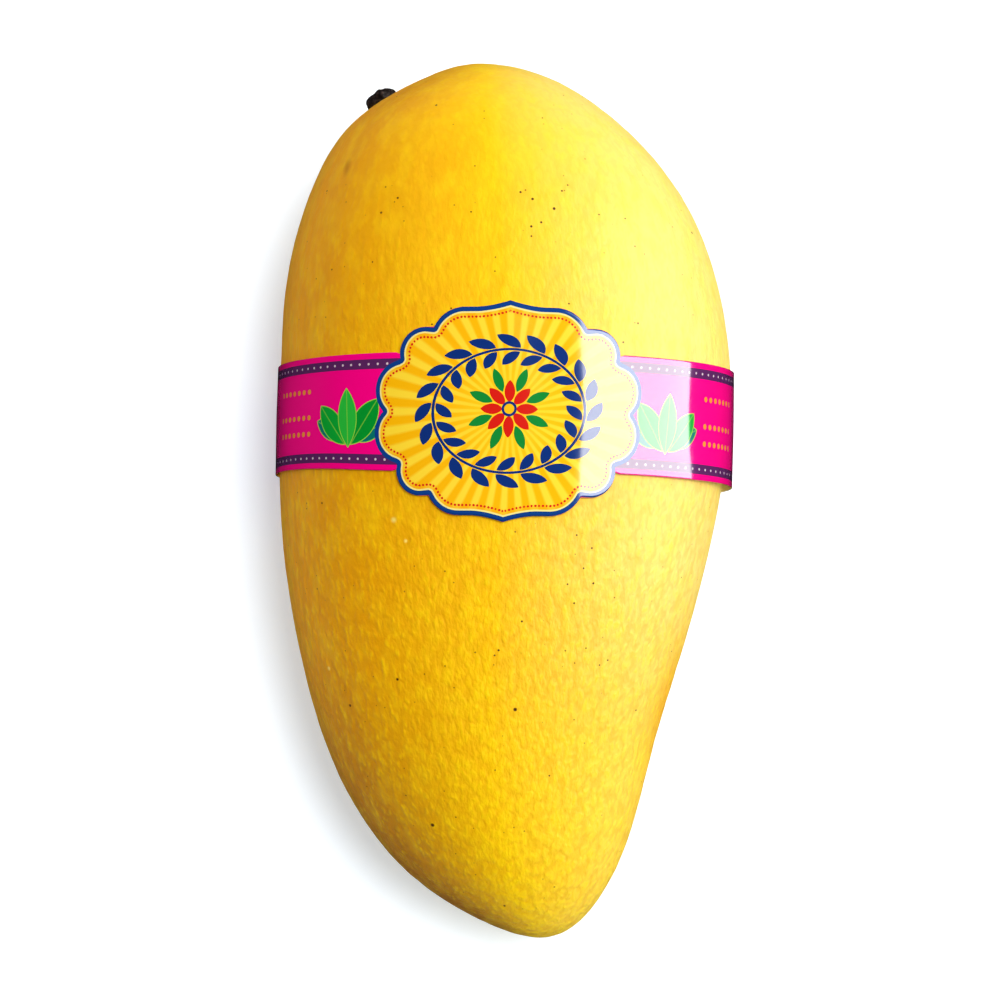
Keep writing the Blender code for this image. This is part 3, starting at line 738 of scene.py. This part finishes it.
# Leaf sprigs on both sides of the badge, and beyond each a block of three rows of orange dots
from_badge = add(tree, "Math", (film_u_mm,), operation="ABSOLUTE")
past_first = add(tree, "Math", (from_badge, SPRIG_FIRST), operation="SUBTRACT")
from_sprig = add(tree, "Math", (past_first, SPRIG_PITCH / 2, -SPRIG_PITCH / 2), operation="WRAP")
dot_block = add(tree, "Math", (from_sprig, DOTS_FROM_SPRIG, DOTS_HALF_LENGTH), operation="COMPARE")
dot_u = add(tree, "Math", (film_u_mm, DOT_PITCH / 2), operation="PINGPONG")
for row in DOT_ROWS:
    dot_v = add(tree, "Math", (film_v_mm, row), operation="SUBTRACT")
    dot = add(tree, "Math", (span(tree, dot_u, dot_v), DOT_RADIUS), operation="LESS_THAN")
    dot_share = add(tree, "Math", (dot, dot_block), operation="MULTIPLY")
    band = add(tree, "MixRGB", (dot_share, band, colour(DOT_INK)))
sprig_place = add(tree, "CombineXYZ", (from_sprig, film_v_mm))
inside_stripes = add(tree, "Math", (across, STRIPE_V - STRIPE_HALF), operation="LESS_THAN")
for foot_u, foot_v, turn, length, width, ink in SPRIG_LEAVES:
    lean = math.radians(turn)
    middle = (foot_u - length / 2 * math.sin(lean), foot_v + length / 2 * math.cos(lean), 0)
    way = (0, 0, lean + math.pi / 2)
    leaf_place = add(tree, "Mapping", (sprig_place, middle, way), vector_type="TEXTURE")
    along_leaf, across_leaf = add(tree, "SeparateXYZ", (leaf_place,)).outputs[:2]
    depth = leaf_inside(tree, along_leaf, across_leaf, length / 2, width / 2)
    rib = add(tree, "Math", (across_leaf, 0.0, LEAF_RIB), operation="COMPARE")
    rib_share = add(tree, "Math", (rib, LEAF_RIB_SHARE), operation="MULTIPLY")
    leaf = add(tree, "MixRGB", (rib_share, colour(ink), colour(LEAF_EDGE_INK)))
    edge = add(tree, "Math", (depth, LEAF_EDGE), operation="LESS_THAN")
    leaf = add(tree, "MixRGB", (edge, leaf, colour(LEAF_EDGE_INK)))
    inside = add(tree, "Math", (depth, 0.0), operation="GREATER_THAN")
    leaf_share = add(tree, "Math", (inside, inside_stripes), operation="MULTIPLY")
    band = add(tree, "MixRGB", (leaf_share, band, leaf))

# The badge's ground: pale rays from its middle on gold, a glow, and a deeper tint by the edge
ray_turn = add(tree, "Math", (film_v_mm, film_u_mm), operation="ARCTAN2")
from_ray = add(tree, "Math", (ray_turn, math.pi / RAY_COUNT), operation="PINGPONG")
ray_share = add(tree, "MapRange", (from_ray, *RAY_EDGE))
badge = add(tree, "MixRGB", (ray_share, colour(SUN_INK), colour(RAY_INK)))
from_centre = span(tree, film_u_mm, film_v_mm)
glow_share = add(tree, "MapRange", (from_centre, *GLOW_RADII, *GLOW_SHARE))
badge = add(tree, "MixRGB", (glow_share, badge, colour(GLOW_INK)))
tint_share = add(tree, "MapRange", (edge_mm, *TINT_EDGE, *TINT_SHARE))
badge = add(tree, "MixRGB", (tint_share, badge, colour(TINT_INK)))

# The wreath: pairs of pointed leaves off a thin stalk, on a ring that is squashed to an oval
wreath_u = add(tree, "Math", (film_u_mm, WREATH_SQUASH), operation="MULTIPLY")
wreath_turn = add(tree, "Math", (film_v_mm, wreath_u), operation="ARCTAN2")
pair_half_turn = math.pi / WREATH_PAIRS
from_pair = add(tree, "Math", (wreath_turn, pair_half_turn, -pair_half_turn), operation="WRAP")
along_stalk = add(tree, "Math", (from_pair, WREATH_RADIUS), operation="MULTIPLY")
past_stalk = add(tree, "Math", (span(tree, wreath_u, film_v_mm), WREATH_RADIUS), operation="SUBTRACT")
off_stalk = add(tree, "Math", (past_stalk,), operation="ABSOLUTE")
pair_place = add(tree, "CombineXYZ", (along_stalk, off_stalk))
tilt = (0, 0, math.radians(WREATH_TILT))
leaf_place = add(tree, "Mapping", (pair_place, WREATH_LEAF_MIDDLE, tilt), vector_type="TEXTURE")
leaf_depth = leaf_inside(tree, *add(tree, "SeparateXYZ", (leaf_place,)).outputs[:2], *WREATH_LEAF)
wreath_leaf = add(tree, "Math", (leaf_depth, 0.0), operation="GREATER_THAN")
badge = add(tree, "MixRGB", (wreath_leaf, badge, colour(WREATH_INK)))
stalk = add(tree, "Math", (off_stalk, WREATH_STALK), operation="LESS_THAN")
badge = add(tree, "MixRGB", (stalk, badge, colour(WREATH_INK)))

# The rosette: two rings of petals and a ringed eye
rosette_v = add(tree, "Math", (film_v_mm, ROSETTE_V), operation="SUBTRACT")
rosette_radius = span(tree, film_u_mm, rosette_v)
rosette_turn = add(tree, "Math", (rosette_v, film_u_mm), operation="ARCTAN2")
for count, petal_middle, half_length, half_width, half_steps, ink in ROSETTE:
    half_turn = math.pi / count
    shifted = add(tree, "Math", (rosette_turn, half_steps * half_turn), operation="ADD")
    from_petal = add(tree, "Math", (shifted, half_turn, -half_turn), operation="WRAP")
    across_petal = add(tree, "Math", (from_petal, rosette_radius), operation="MULTIPLY")
    along_petal = add(tree, "Math", (rosette_radius, petal_middle), operation="SUBTRACT")
    depth = leaf_inside(tree, along_petal, across_petal, half_length, half_width)
    petal = add(tree, "Math", (depth, 0.0), operation="GREATER_THAN")
    badge = add(tree, "MixRGB", (petal, badge, colour(ink)))
for eye_radius, ink in zip(EYE_RADIUS, (WREATH_INK, EYE_INK)):
    eye = add(tree, "Math", (rosette_radius, eye_radius), operation="LESS_THAN")
    badge = add(tree, "MixRGB", (eye, badge, colour(ink)))

# The badge's border: a row of red stitch dots, a pale line and the blue rim
stitch_u = add(tree, "Math", (round_mm, STITCH_PITCH / 2), operation="PINGPONG")
stitch_v = add(tree, "Math", (edge_mm, STITCH_DEPTH_MM), operation="ADD")
stitch = add(tree, "Math", (span(tree, stitch_u, stitch_v), STITCH_RADIUS), operation="LESS_THAN")
badge = add(tree, "MixRGB", (stitch, badge, colour(STITCH_INK)))
for width, ink in ((RIM_LINE, RIM_LINE_INK), (RIM_WIDTH, RIM_INK)):
    border = add(tree, "Math", (edge_mm, -width), operation="GREATER_THAN")
    badge = add(tree, "MixRGB", (border, badge, colour(ink)))
on_badge = add(tree, "Math", (edge_mm, 0.0), operation="LESS_THAN")
printed = add(tree, "MixRGB", (on_badge, band, badge))
film_colour = add(tree, "MixRGB", (printed_side, colour(BACK_INK), printed))
tree.links.new(film_colour.outputs[0], shader.inputs["Base Color"])
shader.inputs["Roughness"].default_value = 0.12
shader.inputs["IOR"].default_value = 1.5
shader.inputs["Coat Weight"].default_value = 1.0
shader.inputs["Coat Roughness"].default_value = 0.07
film.data.materials.append(film_print)
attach(film, "root")
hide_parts("label_wrap")


# The studio: a white table that glows faintly, a tall softbox standing on the right, a small lamp
# high above that draws the soft shadow, a broad fill from above the stem's side and the right,
# and a dim room. The table and the two upper lamps don't show in the gloss.
HALF_TABLE = 1.5
TABLE_DROP = 0.1 * MM
TABLE_INK, TABLE_GLOW, TABLE_GLOW_STRENGTH = "DAE1E6", (0.88, 0.98, 1.10, 1), 0.33
table_mesh = bpy.data.meshes.new("studio_table")
table_places = HALF_TABLE * np.array([(-1, -1), (1, -1), (1, 1), (-1, 1)])
table_corners = [(x, y, -TABLE_DROP) for x, y in table_places.tolist()]
table_mesh.from_pydata(table_corners, [], [(0, 1, 2, 3)])
table = bpy.data.objects.new("studio_table", table_mesh)
table.visible_glossy = False
bpy.context.scene.collection.objects.link(table)
table_paint, tree, shader = new_material("white_table")
shader.inputs["Base Color"].default_value = colour(TABLE_INK)
shader.inputs["Roughness"].default_value = 0.7
shader.inputs["Emission Color"].default_value = TABLE_GLOW
shader.inputs["Emission Strength"].default_value = TABLE_GLOW_STRENGTH
table_mesh.materials.append(table_paint)

# The softbox is two lamps in one place: one for light, and one just in front that shows only in
# the gloss
KEY_DISTANCE, KEY_WIDTH, KEY_TOP, KEY_FOOT = 0.95, 1.0, 1.62, -0.02
KEY_RADIANCE, GLARE_RADIANCE = 0.85, 5.6
GLARE_GAP = 10 * MM
KEY_TURN = math.radians(8)
for lamp_name, radiance, away, lights_matt in (
    ("softbox", KEY_RADIANCE, KEY_DISTANCE, True),
    ("softbox_glare", GLARE_RADIANCE, KEY_DISTANCE - GLARE_GAP, False),
):
    key = bpy.data.lights.new(lamp_name, "AREA")
    key.shape = "RECTANGLE"
    key.size, key.size_y = KEY_TOP - KEY_FOOT, KEY_WIDTH
    key.energy = radiance * math.pi * key.size * key.size_y
    key_lamp = bpy.data.objects.new(lamp_name, key)
    key_height = (KEY_TOP + KEY_FOOT) / 2
    key_lamp.location = (away * math.cos(KEY_TURN), away * math.sin(KEY_TURN), key_height)
    key_lamp.rotation_euler = (0, math.radians(90), KEY_TURN)
    key_lamp.visible_diffuse = lights_matt
    bpy.context.scene.collection.objects.link(key_lamp)

# Each upper lamp: its name, strength, width in degrees, and its beam's lean towards -Y and -X in
# radians, so that the light comes from above the stem's side and the right
UPPER_LAMPS = (
    ("upper_lamp", 0.56 * math.pi, 17, (0.08, 0.20)),
    ("room_fill", 0.45 * math.pi, 130, (0.5, 0.3)),
)
for lamp_name, strength, degrees, (lean_y, lean_x) in UPPER_LAMPS:
    upper_light = bpy.data.lights.new(lamp_name, "SUN")
    upper_light.energy = strength
    upper_light.angle = math.radians(degrees)
    upper_lamp = bpy.data.objects.new(lamp_name, upper_light)
    upper_lamp.rotation_euler = (-lean_y, lean_x, 0)
    upper_lamp.visible_glossy = False
    bpy.context.scene.collection.objects.link(upper_lamp)

# The room lights next to nothing, and the camera sees it as white
ROOM_DIM, ROOM_SEEN = (0.01, 0.01, 0.01, 1), (1, 1, 1, 1)
room = bpy.data.worlds.new("studio_room")
room.use_nodes = True
tree = room.node_tree
room_rays = add(tree, "LightPath").outputs["Is Camera Ray"]
room_light = add(tree, "MixRGB", (room_rays, ROOM_DIM, ROOM_SEEN))
tree.links.new(room_light.outputs[0], tree.nodes["Background"].inputs["Color"])
bpy.context.scene.world = room

# The camera hangs over the fruit, leaning 4.4 degrees towards the tip's side.
CAMERA_DISTANCE = 0.9
CAMERA_LEAN = math.radians(4.4)
VIEW_WIDTH = 206.3 * MM
CAMERA_TARGET = np.array([-1.1 * MM, 0.0, 38 * MM])
camera_data = bpy.data.cameras.new("camera")
camera_data.lens = camera_data.sensor_width * CAMERA_DISTANCE / VIEW_WIDTH
camera = bpy.data.objects.new("camera", camera_data)
camera_way = np.array([0, -math.sin(CAMERA_LEAN), math.cos(CAMERA_LEAN)])
camera.location = CAMERA_TARGET + CAMERA_DISTANCE * camera_way
camera.rotation_euler = (CAMERA_LEAN, 0, 0)
bpy.context.scene.collection.objects.link(camera)
bpy.context.scene.camera = camera
bpy.context.scene.view_settings.view_transform = "Standard"
bpy.context.scene.view_settings.look = "Medium High Contrast"
